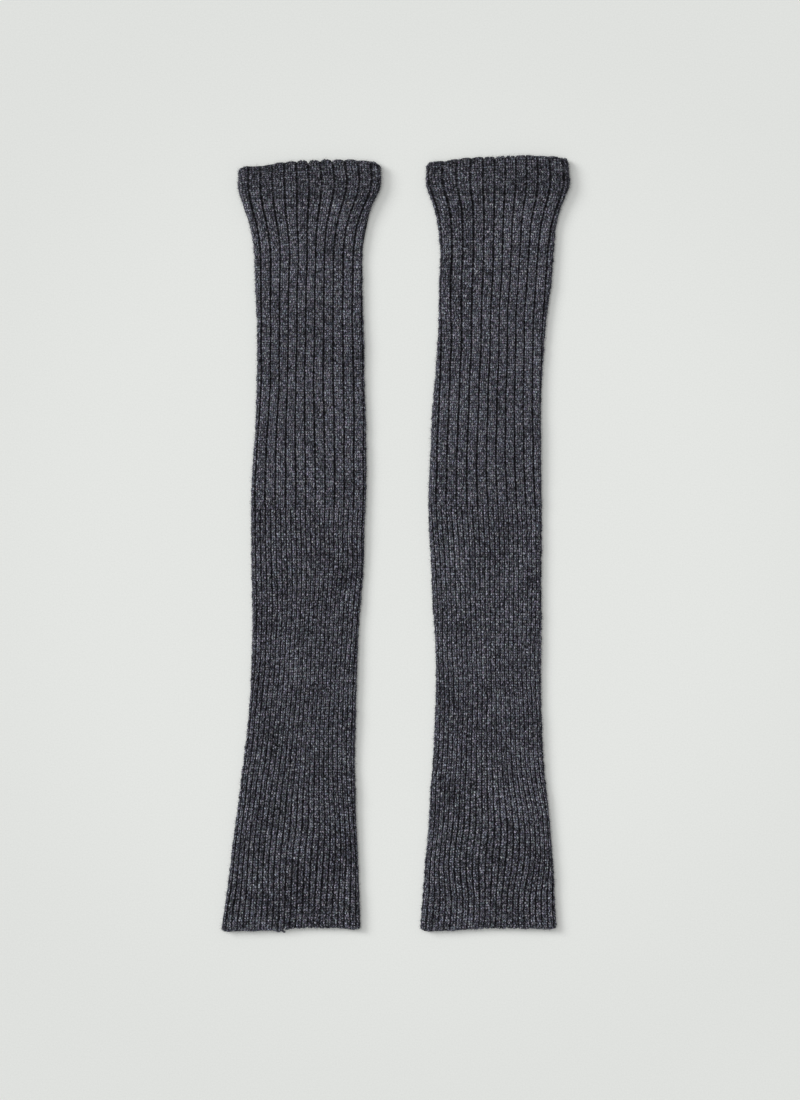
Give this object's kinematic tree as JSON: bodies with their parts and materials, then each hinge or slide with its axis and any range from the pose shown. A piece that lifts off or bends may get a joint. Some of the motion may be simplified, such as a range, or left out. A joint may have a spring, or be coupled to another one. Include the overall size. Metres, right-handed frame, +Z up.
{
  "type": "pair of arm warmers",
  "caption": "Long rib-knit tubular arm warmers laid flat side by side, with a flared turned-in hem band, wide upper ribs and narrow lower ribs flaring to the wrist.",
  "frame": {"origin": "on the surface, below the middle of the pair's box", "axes": "+Z up, +Y along the tubes towards the upper-arm hem bands, +X to the right as seen from above"},
  "size_m": [0.25, 0.5588, 0.0072],
  "materials": {
    "charcoal_heather_wool": "matt heather wool rib knit, slightly fuzzy"
  },
  "bodies": {
    "root": {"left_hem_band": "charcoal_heather_wool", "left_upper_tube": "charcoal_heather_wool", "left_lower_tube": "charcoal_heather_wool", "right_hem_band": "charcoal_heather_wool", "right_upper_tube": "charcoal_heather_wool", "right_lower_tube": "charcoal_heather_wool"}
  },
  "joints": []
}
